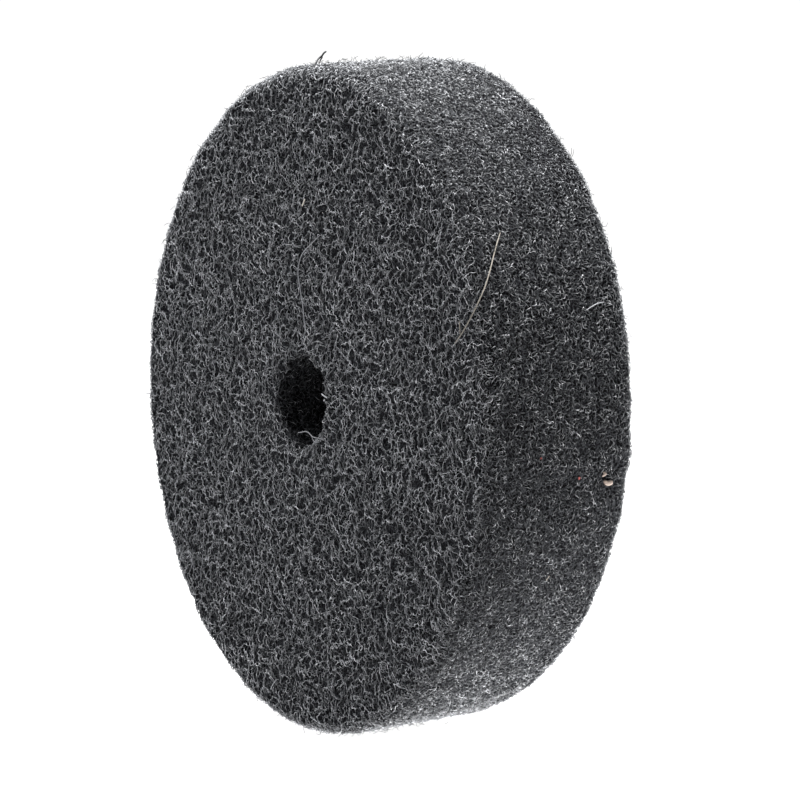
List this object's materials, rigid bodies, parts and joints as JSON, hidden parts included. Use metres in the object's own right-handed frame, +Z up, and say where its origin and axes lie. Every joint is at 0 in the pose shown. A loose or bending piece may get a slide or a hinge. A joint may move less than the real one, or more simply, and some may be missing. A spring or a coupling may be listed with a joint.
{
  "type": "polishing wheel",
  "caption": "Round grey non-woven fibre polishing wheel: flat pressed plies bonded into one thick disc with a plain central bore for a spindle.",
  "frame": {"origin": "the wheel's centre: on the spindle axis, midway between the two faces", "axes": "+Y along the spindle axis from the front face to the back face, +Z up with the wheel standing on its rim; the front face looks along -Y"},
  "size_m": [0.075, 0.019, 0.075],
  "materials": {
    "grey_fibre": "matte"
  },
  "bodies": {
    "root": {"front_ply": "grey_fibre", "ply_2": "grey_fibre", "ply_3": "grey_fibre", "ply_4": "grey_fibre", "ply_5": "grey_fibre", "ply_6": "grey_fibre", "back_ply": "grey_fibre"}
  },
  "joints": []
}
